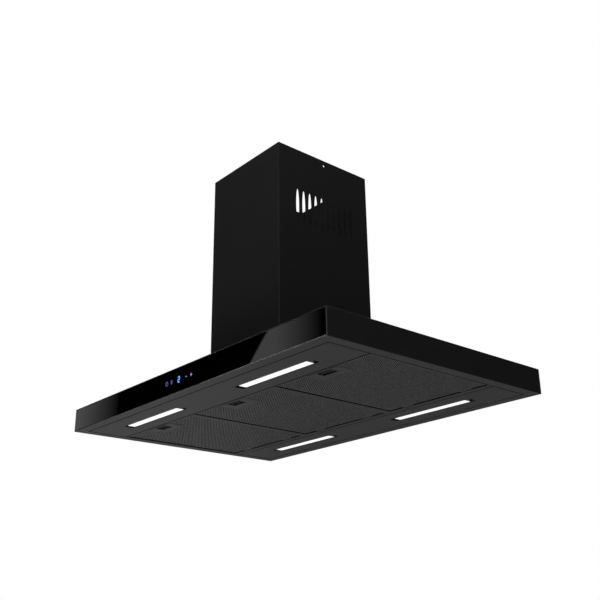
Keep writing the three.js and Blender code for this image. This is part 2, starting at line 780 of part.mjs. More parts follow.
// An angle post in the corner at (x, y), with its legs running inwards, and bolt holes up one leg.
function anglePost(x, y, leg, bottom, top) {
  const [sx, sy] = [Math.sign(x), Math.sign(y)];
  const corner = (dx, dy) => [x - sx * dx, y - sy * dy];
  const between = (a, b) => {
    const low = [Math.min(a[0], b[0]), Math.min(a[1], b[1]), bottom];
    const high = [Math.max(a[0], b[0]), Math.max(a[1], b[1]), top];
    return block(low, high);
  };
  const legAlongX = between(corner(0, 0), corner(leg, postThickness));
  const legAlongY = between(corner(0, 0), corner(postThickness, leg));
  const holes = [];
  const holePitch = 60;
  for (let z = bottom + 20; z < top - 10; z += holePitch) {
    const [x0, x1] = [x - sx * (postThickness + 1), x + sx];
    holes.push(bar('x', 2.6, Math.min(x0, x1), Math.max(x0, x1), [y - sy * (leg - 7), z], 8));
  }
  return cut(join(legAlongX, legAlongY), ...holes);
}

const corners = [
  ['front_left', -1, -1],
  ['front_right', 1, -1],
  ['rear_left', -1, 1],
  ['rear_right', 1, 1],
];
const lowerX = plateX - postThickness - 0.5;
const lowerY = plateY - postThickness - 0.5;

for (const [name, sx, sy] of corners) {
  const upper = anglePost(sx * plateX, sy * plateY, 22, 62, plateBottom - gap);
  piece(ceilingSection, `upper_post_${name}`, upper, galvanised);
  const lower = anglePost(sx * lowerX, sy * lowerY, 20, canopyHeight + gap, plateBottom - 7);
  piece(hood, `lower_post_${name}`, lower, galvanised);
}

export default rangeHood;
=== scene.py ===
from math import cos, pi, radians, sin, sqrt

import bmesh
import bpy
from mathutils import Matrix, Vector


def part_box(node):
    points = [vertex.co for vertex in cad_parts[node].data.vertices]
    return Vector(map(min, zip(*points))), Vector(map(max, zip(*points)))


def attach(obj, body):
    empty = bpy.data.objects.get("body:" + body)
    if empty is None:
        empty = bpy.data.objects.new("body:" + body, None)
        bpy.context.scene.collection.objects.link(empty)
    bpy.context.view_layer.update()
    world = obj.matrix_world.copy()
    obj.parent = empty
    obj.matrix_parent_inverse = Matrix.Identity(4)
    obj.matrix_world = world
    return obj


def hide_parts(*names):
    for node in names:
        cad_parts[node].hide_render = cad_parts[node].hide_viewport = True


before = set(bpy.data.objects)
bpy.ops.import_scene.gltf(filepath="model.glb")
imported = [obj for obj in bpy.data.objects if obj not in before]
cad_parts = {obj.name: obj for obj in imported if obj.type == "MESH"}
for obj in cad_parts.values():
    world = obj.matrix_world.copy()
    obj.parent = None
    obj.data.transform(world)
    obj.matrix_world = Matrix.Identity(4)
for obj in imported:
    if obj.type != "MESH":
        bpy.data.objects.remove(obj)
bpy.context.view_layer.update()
mm = 0.001

# ------------------------------------------------------------------ ceiling plate
# The plate that is screwed to the ceiling: 3 mm galvanised sheet, pressed flat and punched with four
# slots and the duct hole. Its cut edges are broken, so they catch a thin line of light.


def merged_copy(node):
    """The CAD node's own shape, with its loose triangles joined and its flat faces made whole."""
    shape = bmesh.new()
    shape.from_mesh(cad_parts[node].data)
    bmesh.ops.remove_doubles(shape, verts=shape.verts, dist=0.001 * mm)
    bmesh.ops.dissolve_limit(shape, angle_limit=radians(0.5), verts=shape.verts, edges=shape.edges)
    return shape


def round_these(shape, edges, width, segments):
    """Rounds these edges."""
    bmesh.ops.bevel(
        shape,
        geom=edges,
        offset=width,
        offset_type="OFFSET",
        segments=segments,
        profile=0.5,
        affect="EDGES",
        clamp_overlap=True,
        material=-1,
    )


def round_edges(shape, width, segments=2, sharper_than=50):
    """Rounds every edge that turns by more than this angle."""
    sharp = [
        edge for edge in shape.edges
        if len(edge.link_faces) == 2 and edge.calc_face_angle() > radians(sharper_than)
    ]
    round_these(shape, sharp, width, segments)


def show(shape, name, body, material, replaced=(), weighted=True):
    """Makes the shape a piece of the scene that rides on a body and may stand for CAD nodes."""
    mesh = bpy.data.meshes.new(name)
    for edge in shape.edges:
        edge.smooth = len(edge.link_faces) == 2 and edge.calc_face_angle() < radians(40)
    for face in shape.faces:
        face.smooth = weighted
    shape.to_mesh(mesh)
    shape.free()
    mesh.materials.append(material)
    piece = bpy.data.objects.new(name, mesh)
    bpy.context.scene.collection.objects.link(piece)
    if weighted:
        normals = piece.modifiers.new("flat faces stay flat", "WEIGHTED_NORMAL")
        normals.keep_sharp = True
    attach(piece, body)
    if replaced:
        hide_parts(*replaced)
    return piece


def rounded(node, body, material, width, segments=2, sharper_than=50):
    """Shows a CAD node with its edges rounded."""
    shape = merged_copy(node)
    round_edges(shape, width, segments, sharper_than)
    return show(shape, f"{node}_shown", body, material, [node])


def srgb(code):
    """A hex colour as the linear colour that a shader takes."""
    channels = [int(code[i:i + 2], 16) / 255 for i in (1, 3, 5)]
    return [c / 12.92 if c <= 0.04045 else ((c + 0.055) / 1.055) ** 2.4 for c in channels] + [1.0]


def new_material(name, **sockets):
    """A material with one Principled shader whose even values are set on its own sockets."""
    material = bpy.data.materials.new(name)
    material.use_nodes = True
    shader = material.node_tree.nodes["Principled BSDF"]
    for socket, value in sockets.items():
        shader.inputs[socket.replace("_", " ")].default_value = value
    return material, shader


def add(material, kind, settings=None, inputs=None, feeds=None):
    """Adds a shader node, sets it up, links its inputs and feeds its first output to a socket."""
    node = material.node_tree.nodes.new(kind)
    for name, value in (settings or {}).items():
        setattr(node, name, value)
    for socket, value in (inputs or {}).items():
        if isinstance(value, bpy.types.NodeSocket):
            material.node_tree.links.new(value, node.inputs[socket])
        else:
            node.inputs[socket].default_value = value
    if feeds is not None:
        material.node_tree.links.new(node.outputs[0], feeds)
    return node


def grains(size):
    """The scale of a texture whose grains are this many metres across."""
    return 1 / size


# Hot-dip zinc: large pale crystals, each turned its own way, dull with age.
galvanised, shader = new_material("galvanised sheet steel", Metallic=1.0)
place = add(galvanised, "ShaderNodeTexCoord").outputs["Object"]
crystals = add(galvanised, "ShaderNodeTexVoronoi", inputs={"Vector": place, "Scale": grains(9 * mm)})
zinc = add(
    galvanised,
    "ShaderNodeMix",
    {"data_type": "RGBA"},
    {"Factor": crystals.outputs["Color"], "A": srgb("#a2a6a9"), "B": srgb("#c3c6c8")},
)
galvanised.node_tree.links.new(zinc.outputs["Result"], shader.inputs["Base Color"])
add(
    galvanised,
    "ShaderNodeMapRange",
    inputs={"Value": crystals.outputs["Color"], "To Min": 0.38, "To Max": 0.55},
    feeds=shader.inputs["Roughness"],
)
rounded("ceiling_plate", "ceiling_section", galvanised, 0.4 * mm)

# ------------------------------------------------------------------ hanging posts
# Four upper and four lower angle posts of folded galvanised sheet, drilled with a row of holes; the
# lower ones lap the upper ones and are locked to them with screws at the fitted height.
for corner in ("front_left", "front_right", "rear_left", "rear_right"):
    rounded(f"upper_post_{corner}", "ceiling_section", galvanised, 0.3 * mm, 1)
    rounded(f"lower_post_{corner}", "hood", galvanised, 0.3 * mm, 1)

# ------------------------------------------------------------------ chimney
# Two rectangular sleeves of folded sheet steel, one sliding inside the other, with a matt black powder
# coat. The lower one has ten vent slots and a screw hole in each side.

# Powder coat: a deep black that scatters softly, with the fine bumps of fused powder. The real grain
# is about 0.4 mm; it is made 1.2 mm here so that it shows at the distance of the camera.


def powder_coat(name, light, dark, roughness, bump, painted_shade_above=None):
    """A powder coat; above the given height its colour is painted near-black, a painted shade."""
    coat, shader = new_material(name)
    place = add(coat, "ShaderNodeTexCoord").outputs["Object"]
    cloud = add(
        coat,
        "ShaderNodeTexNoise",
        inputs={"Vector": place, "Scale": grains(90 * mm), "Detail": 3.0, "Roughness": 0.55},
    )
    tint = add(
        coat,
        "ShaderNodeMix",
        {"data_type": "RGBA"},
        {"Factor": cloud.outputs["Fac"], "A": srgb(dark), "B": srgb(light)},
    )
    colour = tint.outputs["Result"]
    # Painted shade: above this height the coat's colour turns near-black.
    if painted_shade_above is not None:
        level = add(coat, "ShaderNodeSeparateXYZ", inputs={"Vector": place}).outputs["Z"]
        shade_mask = add(
            coat,
            "ShaderNodeMapRange",
            inputs={"Value": level, "From Min": painted_shade_above, "From Max": painted_shade_above + 0.15 * mm},
        )
        shaded_colour = add(
            coat,
            "ShaderNodeMix",
            {"data_type": "RGBA"},
            {"Factor": shade_mask.outputs["Result"], "A": colour, "B": srgb("#040404")},
        )
        colour = shaded_colour.outputs["Result"]
    coat.node_tree.links.new(colour, shader.inputs["Base Color"])
    powder = add(
        coat,
        "ShaderNodeTexNoise",
        inputs={"Vector": place, "Scale": grains(1.2 * mm), "Detail": 2.0, "Roughness": 0.6},
    )
    add(
        coat,
        "ShaderNodeMapRange",
        inputs={"Value": powder.outputs["Fac"], "To Min": roughness - 0.05, "To Max": roughness + 0.05},
        feeds=shader.inputs["Roughness"],
    )
    add(
        coat,
        "ShaderNodeBump",
        inputs={"Strength": bump, "Distance": 0.05 * mm, "Height": powder.outputs["Fac"]},
        feeds=shader.inputs["Normal"],
    )
    return coat


# The chimney's copy of the hood's one black coat is painted darker than the canopy's, as painted shade.
chimney_coat = powder_coat("matt black powder coat", "#262627", "#212122", roughness=0.55, bump=0.25)
rounded("inner_chimney", "ceiling_section", chimney_coat, 0.5 * mm)

# The sheet is 1.2 mm thick and its four upright folds are rounder than its cut edges.
fold_radius = 1.1 * mm
fold_segments = 4
# Places that are closer together than this count as one.
hair = 0.01 * mm
outer_sleeve = merged_copy("outer_chimney")
sleeve_low, sleeve_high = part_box("outer_chimney")
upright_folds = [
    edge for edge in outer_sleeve.edges
    if edge.calc_length() > 0.99 * (sleeve_high.z - sleeve_low.z)
    and all(abs(abs(vert.co.x) - sleeve_high.x) < hair for vert in edge.verts)
    and abs(edge.verts[0].co.y - edge.verts[1].co.y) < hair
]
round_these(outer_sleeve, upright_folds, fold_radius, fold_segments)
round_edges(outer_sleeve, 0.3 * mm, 2, 60)
show(outer_sleeve, "outer_chimney_shown", "hood", chimney_coat, ["outer_chimney"])

# ------------------------------------------------------------------ motor box
# A folded box of galvanised sheet that stands on the canopy and closes the blower in.
rounded("motor_box", "hood", galvanised, 0.5 * mm)

# ------------------------------------------------------------------ blower
# A moulded scroll in two halves, a drum of forward-curved blades, and a motor inside the drum on a
# bracket of pressed steel with three arms.

# Grey polypropylene: satin, with a faint mottle from the mould.
grey_plastic, shader = new_material("grey moulded plastic")
place = add(grey_plastic, "ShaderNodeTexCoord").outputs["Object"]
mottle = add(
    grey_plastic,
    "ShaderNodeTexNoise",
    inputs={"Vector": place, "Scale": grains(6 * mm), "Detail": 4.0},
)
tint = add(
    grey_plastic,
    "ShaderNodeMix",
    {"data_type": "RGBA"},
    {"Factor": mottle.outputs["Fac"], "A": srgb("#56595c"), "B": srgb("#63666a")},
)
grey_plastic.node_tree.links.new(tint.outputs["Result"], shader.inputs["Base Color"])
add(
    grey_plastic,
    "ShaderNodeMapRange",
    inputs={"Value": mottle.outputs["Fac"], "To Min": 0.42, "To Max": 0.55},
    feeds=shader.inputs["Roughness"],
)
for side in ("left", "right"):
    rounded(f"blower_housing_{side}", "hood", grey_plastic, 0.4 * mm, 1)
rounded("impeller", "blower_rotor", grey_plastic, 0.2 * mm, 1)

# Turned steel: bright, with fine rings left by the tool round the axis of the shaft.
bright_steel, shader = new_material("turned steel", Metallic=1.0, Base_Color=srgb("#b9bbbd"))
place = add(bright_steel, "ShaderNodeTexCoord").outputs["Object"]
rings = add(
    bright_steel,
    "ShaderNodeTexWave",
    {"wave_type": "BANDS", "bands_direction": "X"},
    {"Vector": place, "Scale": grains(3 * mm), "Distortion": 0.6, "Detail": 2.0},
)
add(
    bright_steel,
    "ShaderNodeMapRange",
    inputs={"Value": rings.outputs["Fac"], "To Min": 0.22, "To Max": 0.36},
    feeds=shader.inputs["Roughness"],
)
rounded("motor_shaft", "blower_rotor", bright_steel, 0.4 * mm)
rounded("motor", "hood", bright_steel, 0.8 * mm)
rounded("motor_bracket", "hood", galvanised, 0.3 * mm, 1)

# ------------------------------------------------------------------ outlet collar and dampers
# A moulded black spigot for the duct, with two half-round flaps on one steel pin that fall shut when
# the blower stops.

# Black ABS: a close mould texture that keeps the gloss soft.
black_plastic, shader = new_material("black moulded plastic", Base_Color=srgb("#1b1b1c"))
place = add(black_plastic, "ShaderNodeTexCoord").outputs["Object"]
texture = add(
    black_plastic,
    "ShaderNodeTexNoise",
    inputs={"Vector": place, "Scale": grains(0.8 * mm), "Detail": 2.0},
)
add(
    black_plastic,
    "ShaderNodeMapRange",
    inputs={"Value": texture.outputs["Fac"], "To Min": 0.45, "To Max": 0.6},
    feeds=shader.inputs["Roughness"],
)
add(
    black_plastic,
    "ShaderNodeBump",
    inputs={"Strength": 0.2, "Distance": 0.04 * mm, "Height": texture.outputs["Fac"]},
    feeds=shader.inputs["Normal"],
)
rounded("outlet_collar", "hood", black_plastic, 0.4 * mm)
rounded("damper_pin", "hood", bright_steel, 0.3 * mm)
for side in ("front", "rear"):
    rounded(f"damper_flap_{side}", f"damper_{side}", black_plastic, 0.25 * mm, 1)

# ------------------------------------------------------------------ electrics on the motor box
# A moulded box for the wiring with its cable gland, the driver of the lamps and the motor's run
# capacitor in a drawn aluminium can.
rounded("electronics_box", "hood", grey_plastic, 0.8 * mm, 3)
rounded("cable_gland", "hood", black_plastic, 0.4 * mm)
rounded("led_driver", "hood", grey_plastic, 1.2 * mm, 3)

# Drawn aluminium: pale and soft, streaked along the can.
can_metal, shader = new_material("drawn aluminium", Metallic=1.0, Base_Color=srgb("#bcbdbf"))
place = add(can_metal, "ShaderNodeTexCoord").outputs["Object"]
stretch = add(can_metal, "ShaderNodeMapping", inputs={"Vector": place, "Scale": (0.05, 1.0, 1.0)})
streaks = add(
    can_metal,
    "ShaderNodeTexNoise",
    inputs={"Vector": stretch.outputs["Vector"], "Scale": grains(1.5 * mm), "Detail": 3.0},
)
add(
    can_metal,
    "ShaderNodeMapRange",
    inputs={"Value": streaks.outputs["Fac"], "To Min": 0.3, "To Max": 0.45},
    feeds=shader.inputs["Roughness"],
)
rounded("run_capacitor", "hood", can_metal, 0.5 * mm)

# ------------------------------------------------------------------ canopy shell
# A flat tray of folded sheet steel, open below, with a border round its mouth, an upturned lip and a
# rebate across the front for the glass. It wears the chimney's black powder coat with more sheen; its
# copy of the colour is painted lighter than the chimney's, as painted light.
canopy_coat = powder_coat("satin black powder coat", "#343435", "#2e2e2f", roughness=0.42, bump=0.2)
canopy = merged_copy("canopy_shell")
canopy_low, canopy_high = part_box("canopy_shell")


def on_outer_fold(edge):
    """True on the twelve edges of the box that the canopy is folded into."""
    sides = 0
    for axis in range(3):
        for level in (canopy_low[axis], canopy_high[axis]):
            sides += all(abs(vert.co[axis] - level) < hair for vert in edge.verts)
    return sides == 2


outer_folds = [edge for edge in canopy.edges if on_outer_fold(edge)]
round_these(canopy, outer_folds, fold_radius, fold_segments)
round_edges(canopy, 0.3 * mm, 2, 60)
show(canopy, "canopy_shell_shown", "hood", canopy_coat, ["canopy_shell"])

# ------------------------------------------------------------------ front glass
# A strip of toughened glass, 4.4 mm thick with ground edges, printed black on its back, so that it
# looks like a black mirror.

# Black glass: no colour of its own, a hard clear reflection.
black_glass, shader = new_material("black printed glass", Base_Color=srgb("#020203"), Roughness=0.02)
place = add(black_glass, "ShaderNodeTexCoord").outputs["Object"]
wave = add(
    black_glass,
    "ShaderNodeTexNoise",
    inputs={"Vector": place, "Scale": grains(300 * mm), "Detail": 1.0},
)
add(
    black_glass,
    "ShaderNodeBump",
    inputs={"Strength": 0.02, "Distance": 0.1 * mm, "Height": wave.outputs["Fac"]},
    feeds=shader.inputs["Normal"],
)
rounded("front_glass", "hood", black_glass, 0.15 * mm, 1, 30)

# ------------------------------------------------------------------ touch keys in the glass
# Windows left clear in the black print and lit from behind: a power ring, a lamp, a one-digit
# display, a minus and a plus. They lie level with the face of the glass.
glass_low, glass_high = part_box("front_glass")
key_height = (glass_low.z + glass_high.z) / 2
key_face = glass_low.y - 0.04 * mm
key_depth = 0.1 * mm
inner_key_x = 27 * mm
outer_key_x = 45 * mm


def light_through(name, code, strength):
    """Lit ink: a glow with the slight grain of the diffusing film behind it."""
    glow, shader = new_material(name, Base_Color=srgb("#050506"), Roughness=0.05)
    place = add(glow, "ShaderNodeTexCoord").outputs["Object"]
    grain = add(glow, "ShaderNodeTexNoise", inputs={"Vector": place, "Scale": grains(2 * mm)})
    add(
        glow,
        "ShaderNodeMapRange",
        inputs={"Value": grain.outputs["Fac"], "To Min": strength * 0.85, "To Max": strength * 1.15},
        feeds=shader.inputs["Emission Strength"],
    )
    shader.inputs["Emission Color"].default_value = srgb(code)
    return glow


def key_bar(shape, x, z, width, height):
    """A flat bar with square corners, set in the face of the glass."""
    turn = Matrix.Rotation(pi / 2, 4, "X")
    sheet = bmesh.ops.create_grid(shape, x_segments=1, y_segments=1, size=0.5, matrix=turn)["verts"]
    bmesh.ops.scale(shape, verts=sheet, vec=(width, 1, height))
    bmesh.ops.translate(shape, verts=sheet, vec=(x, key_face, z))
    face = sheet[0].link_faces[0]
    lifted = bmesh.ops.extrude_face_region(shape, geom=[face])["geom"]
    back = [part for part in lifted if isinstance(part, bmesh.types.BMVert)]
    bmesh.ops.translate(shape, verts=back, vec=(0, key_depth, 0))


def key_ring(shape, x, z, radius, width, start=0.0, end=360.0):
    """A ring, or an arc of one, made by turning a small upright section round the key's centre."""
    turn = Matrix.Rotation(radians(90), 4, "Y")
    section = bmesh.ops.create_grid(shape, x_segments=1, y_segments=1, size=0.5, matrix=turn)
    verts = section["verts"]
    bmesh.ops.scale(shape, verts=verts, vec=(1, key_depth, width))
    bmesh.ops.translate(shape, verts=verts, vec=(x, key_face + key_depth / 2, z + radius))
    faces = verts[0].link_faces[:]
    bmesh.ops.rotate(
        shape, verts=verts, cent=(x, key_face, z), matrix=Matrix.Rotation(radians(start), 3, "Y")
    )
    whole = end - start >= 360
    bmesh.ops.spin(
        shape,
        geom=faces + faces[0].edges[:] + verts,
        cent=(x, key_face, z),
        axis=(0, 1, 0),
        angle=radians(end - start),
        steps=36,
        use_merge=whole,
    )
    if whole:
        inside = [face for face in shape.faces if all(len(edge.link_faces) > 2 for edge in face.edges)]
        bmesh.ops.delete(shape, geom=inside, context="FACES_ONLY")


def show_key(shape, name, material):
    """Shows the finished mark of one key in the glass."""
    bmesh.ops.recalc_face_normals(shape, faces=shape.faces)
    show(shape, name, "hood", material, weighted=False)


power = bmesh.new()
key_ring(power, -outer_key_x, key_height, radius=4.2 * mm, width=1.2 * mm, start=28, end=332)
key_bar(power, -outer_key_x, key_height + 3.4 * mm, width=1.2 * mm, height=4.4 * mm)
show_key(power, "power_key", light_through("violet key light", "#7d80c4", 0.8))

lamp = bmesh.new()
key_ring(lamp, -inner_key_x, key_height + 1.2 * mm, radius=2.6 * mm, width=1.2 * mm)
key_bar(lamp, -inner_key_x, key_height - 2.8 * mm, width=2.8 * mm, height=1.1 * mm)
key_bar(lamp, -inner_key_x, key_height - 4.6 * mm, width=2.0 * mm, height=0.9 * mm)
show_key(lamp, "lamp_key", light_through("indigo key light", "#7474dc", 0.9))

# The display's digit is drawn with the usual seven bars; it shows a 2.
digits = bmesh.new()
digit_width = 6.0 * mm
digit_height = 11.0 * mm
stroke = 2.2 * mm


def draw_digit(shape, x, bars):
    """Draws the named bars of a digit that is centred on the height of the keys."""
    upper = key_height + digit_height / 4
    lower = key_height - digit_height / 4
    side = digit_width / 2
    upright = digit_height / 2 - stroke * 0.7
    places = {
        "top": (x, key_height + digit_height / 2, digit_width, stroke),
        "middle": (x, key_height, digit_width, stroke),
        "bottom": (x, key_height - digit_height / 2, digit_width, stroke),
        "upper_left": (x - side, upper, stroke, upright),
        "upper_right": (x + side, upper, stroke, upright),
        "lower_left": (x - side, lower, stroke, upright),
        "lower_right": (x + side, lower, stroke, upright),
    }
    for name in bars:
        key_bar(shape, *places[name])


draw_digit(digits, 0.0, ["top", "upper_right", "middle", "lower_left", "bottom"])
show_key(digits, "display_digit", light_through("azure display light", "#4fa8ff", 1.8))

minus = bmesh.new()
key_bar(minus, inner_key_x, key_height, width=6.4 * mm, height=1.3 * mm)
show_key(minus, "minus_key", light_through("pale blue key light", "#86a6c8", 1.0))

plus = bmesh.new()
key_bar(plus, outer_key_x, key_height, width=6.4 * mm, height=1.3 * mm)
key_bar(plus, outer_key_x, key_height + 2.0 * mm, width=1.3 * mm, height=2.5 * mm)
key_bar(plus, outer_key_x, key_height - 2.0 * mm, width=1.3 * mm, height=2.5 * mm)
show_key(plus, "plus_key", light_through("periwinkle key light", "#a0b5ea", 1.0))

# ------------------------------------------------------------------ touch board and its box
# The circuit board behind the keys, and the moulded tray that holds it against the window.

# Solder mask: glossy green over copper tracks that run in steps along the board.
board_green, shader = new_material("green circuit board", Roughness=0.35)
place = add(board_green, "ShaderNodeTexCoord").outputs["Object"]
tracks = add(
    board_green,
    "ShaderNodeTexBrick",
    inputs={
        "Vector": place,
        "Scale": grains(60 * mm),
        "Color1": srgb("#1d4f2e"),
        "Color2": srgb("#245c37"),
        "Mortar": srgb("#2f7a49"),
    },
)
board_green.node_tree.links.new(tracks.outputs["Color"], shader.inputs["Base Color"])
rounded("touch_board", "hood", board_green, 0.15 * mm, 1)
rounded("control_box", "hood", black_plastic, 0.3 * mm, 1)

# ------------------------------------------------------------------ light panels
# Two pans of folded sheet that hang on the upturned lip at the front and the back, each punched with
# two slots for the lamps. Just above their bottom face, on their standing walls, the coat is painted
# near-black: painted shade in the seams between the pans.
pan_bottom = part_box("filter_frame")[0].z
# The painted shade starts this far above the pans' bottom face.
shade_start_offset = 0.12 * mm
pan_coat = powder_coat(
    "satin black coat with painted shade on its walls",
    "#343435",
    "#2e2e2f",
    roughness=0.42,
    bump=0.2,
    painted_shade_above=pan_bottom + shade_start_offset,
)
for side in ("front", "rear"):
    rounded(f"{side}_light_panel", "hood", pan_coat, 0.3 * mm)

# ------------------------------------------------------------------ lamps
# Each lamp is an opal cup level with the panel, a strip of chips above it and a black housing that is
# longer than the cup, so that a dark gap shows at its two ends.

# Opal acrylic lit from behind: white below, dimmer at its rim, its walls dark against the housing.
opal, shader = new_material("lit opal acrylic", Base_Color=srgb("#b9babb"), Roughness=0.35)
place = add(opal, "ShaderNodeTexCoord").outputs["Object"]
haze = add(opal, "ShaderNodeTexNoise", inputs={"Vector": place, "Scale": grains(14 * mm)})
glow = add(opal, "ShaderNodeMapRange", inputs={"Value": haze.outputs["Fac"], "To Min": 0.92, "To Max": 1.0})
lens_low, lens_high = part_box("lamp_lens_rear_right")
lens_middle = (lens_low + lens_high) / 2
lens_half = (lens_high - lens_low) / 2
rim_start = 2.6 * mm
rim_end = 1.0 * mm
wall_start = 0.5 * mm
wall_end = 0.8 * mm
where = add(opal, "ShaderNodeSeparateXYZ", inputs={"Vector": place})
brightness = glow.outputs["Result"]
# The four lamps stand evenly about the middle of the hood, so one quarter of it serves for all.
for axis, middle, half in (("X", lens_middle.x, lens_half.x), ("Y", lens_middle.y, lens_half.y)):
    mirrored = add(opal, "ShaderNodeMath", {"operation": "ABSOLUTE"}, {0: where.outputs[axis]})
    offset = add(opal, "ShaderNodeMath", {"operation": "SUBTRACT"}, {0: mirrored.outputs[0], 1: middle})
    distance = add(opal, "ShaderNodeMath", {"operation": "ABSOLUTE"}, {0: offset.outputs[0]})
    rim = add(
        opal,
        "ShaderNodeMapRange",
        inputs={
            "Value": distance.outputs[0],
            "From Min": half - rim_start,
            "From Max": half - rim_end,
            "To Min": 1.0,
            "To Max": 0.06,
        },
    )
    dimmed = add(opal, "ShaderNodeMath", {"operation": "MULTIPLY"}, {0: brightness, 1: rim.outputs[0]})
    brightness = dimmed.outputs[0]
wall = add(
    opal,
    "ShaderNodeMapRange",
    inputs={
        "Value": where.outputs["Z"],
        "From Min": wall_start,
        "From Max": wall_end,
        "To Min": 1.0,
        "To Max": 0.01,
    },
)
add(
    opal,
    "ShaderNodeMath",
    {"operation": "MULTIPLY"},
    {0: brightness, 1: wall.outputs["Result"]},
    shader.inputs["Emission Strength"],
)
shader.inputs["Emission Color"].default_value = srgb("#ffffff")

for row in ("front", "rear"):
    for side in ("left", "right"):
        rounded(f"lamp_lens_{row}_{side}", "hood", opal, 0.4 * mm)
        rounded(f"lamp_housing_{row}_{side}", "hood", black_plastic, 0.3 * mm)
        rounded(f"led_strip_{row}_{side}", "hood", board_green, 0.15 * mm, 1)

# ------------------------------------------------------------------ filter frame
# The pan between the light panels: folded sheet with three large openings, whose dividers are
# stiffened with upright ribs.
# The filter frame's standing walls get the same painted shade as the light panels.
rounded("filter_frame", "hood", pan_coat, 0.3 * mm)

# ------------------------------------------------------------------ grease filters
# Each filter is a tray of aluminium sheet with folded walls and two tongues at the back. Its floor is
# slit and stretched into diamonds, but for a plain patch round the latch. A pad of mesh lies in it.
tray_low, tray_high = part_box("filter_tray_middle")
cup_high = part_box("latch_cup_middle")[1]
slider_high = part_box("latch_slider_middle")[1]
sheet = 1.0 * mm
fold = 1.6 * mm
patch_drop = 0.8 * mm
patch_beside_cup = 20.5 * mm
patch_behind_cup = 2 * mm
patch_half_width = cup_high.x + patch_beside_cup
patch_rear = cup_high.y + patch_behind_cup
plate_setback = 2 * mm
finger_clearance = 1 * mm
finger_depth = 20 * mm
slider_overlap = 1.2 * mm
finger_x = slider_high.x + finger_clearance
finger_rear = slider_high.y - slider_overlap
finger_front = finger_rear - finger_depth
bolt_half_width = 9.6 * mm
bolt_slot_bottom = 3.4 * mm
bolt_slot_top = 6.2 * mm
tongue_x = 80 * mm
tongue_width = 30 * mm
tongue_length = 10 * mm
tray_half_width = tray_high.x
tray_front = tray_low.y
tray_rear = tray_high.y - tongue_length
tray_bottom = tray_low.z + patch_drop
tray_top = tray_high.z
diamond_length_wanted = 6.16 * mm
diamond_width_wanted = 4.3 * mm
strand = 1.05 * mm
plain_margin = 2 * mm
more_than_a_strand = 40 * mm * mm


def anodised(name, colour):
    """Anodised aluminium: grey, satin, rolled along the filter."""
    metal, shader = new_material(name, Metallic=0.6, Base_Color=srgb(colour))
    place = add(metal, "ShaderNodeTexCoord").outputs["Object"]
    stretch = add(metal, "ShaderNodeMapping", inputs={"Vector": place, "Scale": (1.0, 0.04, 1.0)})
    rolled = add(
        metal,
        "ShaderNodeTexNoise",
        inputs={"Vector": stretch.outputs["Vector"], "Scale": grains(2 * mm), "Detail": 3.0},
    )
    add(
        metal,
        "ShaderNodeMapRange",
        inputs={"Value": rolled.outputs["Fac"], "To Min": 0.36, "To Max": 0.5},
        feeds=shader.inputs["Roughness"],
    )
    return metal


filter_metal = anodised("anodised aluminium", "#787979")
plate_metal = anodised("dark anodised aluminium", "#4c4d4d")

# The slit edges of the diamonds and the folded walls: cut metal painted near-black, far darker than the
# face of the sheet, as painted shade in the holes and folds.
slit_edge_shade, shader = new_material("slit edge in painted shade", Metallic=0.3, Roughness=0.75)
place = add(slit_edge_shade, "ShaderNodeTexCoord").outputs["Object"]
edge_mottle = add(slit_edge_shade, "ShaderNodeTexNoise", inputs={"Vector": place, "Scale": grains(30 * mm)})
tint = add(
    slit_edge_shade,
    "ShaderNodeMix",
    {"data_type": "RGBA"},
    {"Factor": edge_mottle.outputs["Fac"], "A": srgb("#070708"), "B": srgb("#0c0c0d")},
)
slit_edge_shade.node_tree.links.new(tint.outputs["Result"], shader.inputs["Base Color"])

# Expanded mesh: dark aluminium strands over gaps painted near-black as the shade behind the mesh, in
# flattened cells.
mesh_metal, shader = new_material("expanded aluminium mesh", Metallic=1.0)
place = add(mesh_metal, "ShaderNodeTexCoord").outputs["Object"]
stretch = add(mesh_metal, "ShaderNodeMapping", inputs={"Vector": place, "Scale": (1.0, 1.8, 1.0)})
cells = add(
    mesh_metal,
    "ShaderNodeTexVoronoi",
    {"feature": "DISTANCE_TO_EDGE"},
    {"Vector": stretch.outputs["Vector"], "Scale": grains(4 * mm)},
)
strands = add(
    mesh_metal,
    "ShaderNodeMapRange",
    inputs={"Value": cells.outputs["Distance"], "From Min": 0.08, "From Max": 0.18},
)
# Painted shade: the gaps between the strands are near-black.
tint = add(
    mesh_metal,
    "ShaderNodeMix",
    {"data_type": "RGBA"},
    {"Factor": strands.outputs["Result"], "A": srgb("#242526"), "B": srgb("#060606")},
)
mesh_metal.node_tree.links.new(tint.outputs["Result"], shader.inputs["Base Color"])
shader.inputs["Roughness"].default_value = 0.45
add(
    mesh_metal,
    "ShaderNodeBump",
    {"invert": True},
    {"Strength": 0.8, "Distance": 0.5 * mm, "Height": strands.outputs["Result"]},
    feeds=shader.inputs["Normal"],
)


